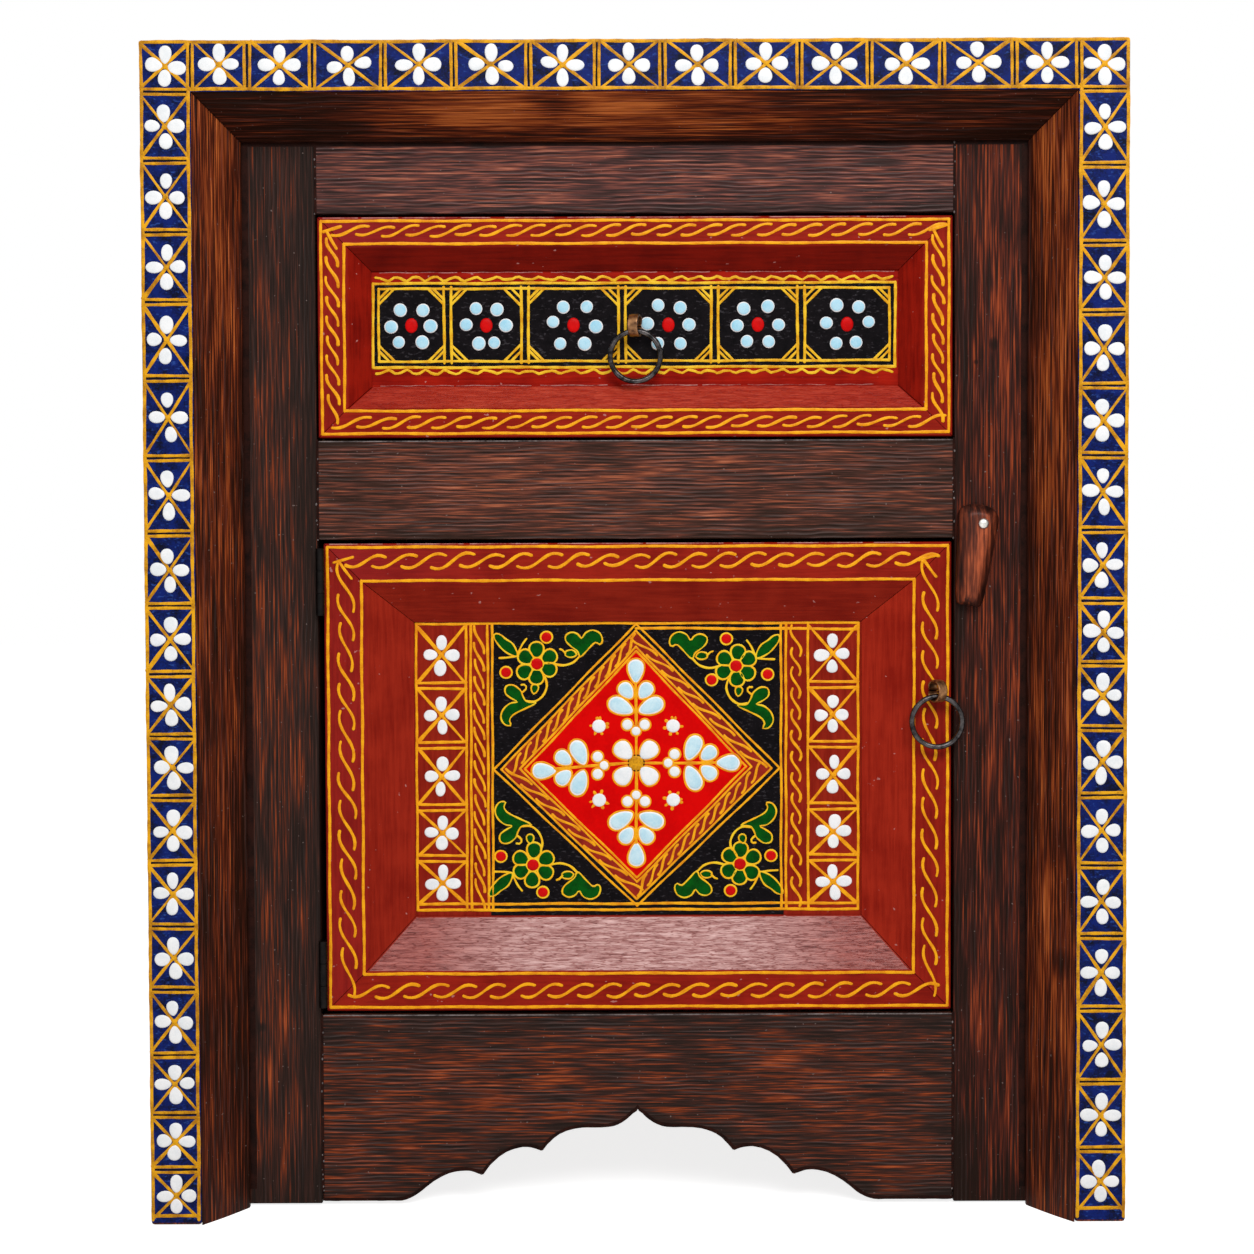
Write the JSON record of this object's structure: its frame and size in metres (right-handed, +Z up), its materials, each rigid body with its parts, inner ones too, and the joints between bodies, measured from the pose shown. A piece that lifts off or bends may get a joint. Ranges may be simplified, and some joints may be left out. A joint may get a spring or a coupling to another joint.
{
  "type": "nightstand",
  "caption": "Painted wooden nightstand: ring-pull drawer above a hinged, panelled cupboard door with a turn button, framed by a mitred moulding and a scalloped apron.",
  "frame": {"origin": "middle of the footprint on the floor", "axes": "+Z up, the front faces -Y, +X to the right of someone facing the front"},
  "size_m": [0.5, 0.38, 0.603],
  "materials": {
    "dark_wood": "dark red-brown stain, satin, worn to orange along the grain",
    "bare_wood": "plain sawn, unpainted",
    "red_paint": "brushed brick-red paint with raised ochre line work",
    "black_paint": "black paint with raised folk ornament",
    "dark_iron": "dark forged iron, slightly polished by use",
    "copper_strip": "aged copper-brown strip",
    "bright_steel": "bright nickelled dome head"
  },
  "bodies": {
    "case": {"side_panel_left": "dark_wood", "side_panel_right": "dark_wood", "top_board": "dark_wood", "back_panel": "bare_wood", "moulding_left": "dark_wood", "moulding_right": "dark_wood", "moulding_top": "dark_wood", "stile_left": "dark_wood", "stile_right": "dark_wood", "top_rail": "dark_wood", "middle_rail": "dark_wood", "apron": "dark_wood", "drawer_deck": "bare_wood", "deck_cleat_left": "bare_wood", "deck_cleat_right": "bare_wood", "cupboard_floor": "bare_wood", "floor_cleat_left": "bare_wood", "floor_cleat_right": "bare_wood", "drawer_guide_left": "bare_wood", "drawer_guide_right": "bare_wood", "drawer_kicker_left": "bare_wood", "drawer_kicker_right": "bare_wood", "drawer_stop_left": "bare_wood", "drawer_stop_right": "bare_wood", "hinge_upper_frame_leaf": "dark_iron", "hinge_upper_pin": "dark_iron", "hinge_lower_frame_leaf": "dark_iron", "hinge_lower_pin": "dark_iron", "turn_button_nail": "bright_steel"},
    "drawer": {"drawer_front_top": "red_paint", "drawer_front_bottom": "red_paint", "drawer_front_left": "red_paint", "drawer_front_right": "red_paint", "drawer_front_panel": "black_paint", "drawer_side_left": "bare_wood", "drawer_side_right": "bare_wood", "drawer_back": "bare_wood", "drawer_bottom": "bare_wood", "drawer_pull_eye": "copper_strip"},
    "drawer_ring": {"drawer_pull_ring": "dark_iron"},
    "door": {"door_rail_top": "red_paint", "door_rail_bottom": "red_paint", "door_stile_left": "red_paint", "door_stile_right": "red_paint", "door_panel": "black_paint", "door_pull_eye": "copper_strip", "hinge_upper_door_leaf": "dark_iron", "hinge_lower_door_leaf": "dark_iron"},
    "door_ring": {"door_pull_ring": "dark_iron"},
    "turn_button": {"turn_button": "dark_wood"}
  },
  "joints": [
    {"name": "drawer_slide", "type": "slide", "parent": "case", "child": "drawer", "axis": [0, -1, 0], "range_m": [0, 0.22]},
    {"name": "drawer_ring_swing", "type": "hinge", "parent": "drawer", "child": "drawer_ring", "pos_m": [0, -0.15415, 0.4599], "axis": [-1, 0, 0], "range_deg": [-5, 165]},
    {"name": "door_swing", "type": "hinge", "parent": "case", "child": "door", "pos_m": [-0.1649, -0.1595, 0.2263], "axis": [0, 0, -1], "range_deg": [0, 115]},
    {"name": "door_ring_swing", "type": "hinge", "parent": "door", "child": "door_ring", "pos_m": [0.1567, -0.16345, 0.2687], "axis": [-1, 0, 0], "range_deg": [-5, 165]},
    {"name": "turn_button_turn", "type": "hinge", "parent": "case", "child": "turn_button", "pos_m": [0.1801, -0.1624, 0.3586], "axis": [0, 1, 0], "range_deg": [-33, 190]}
  ]
}
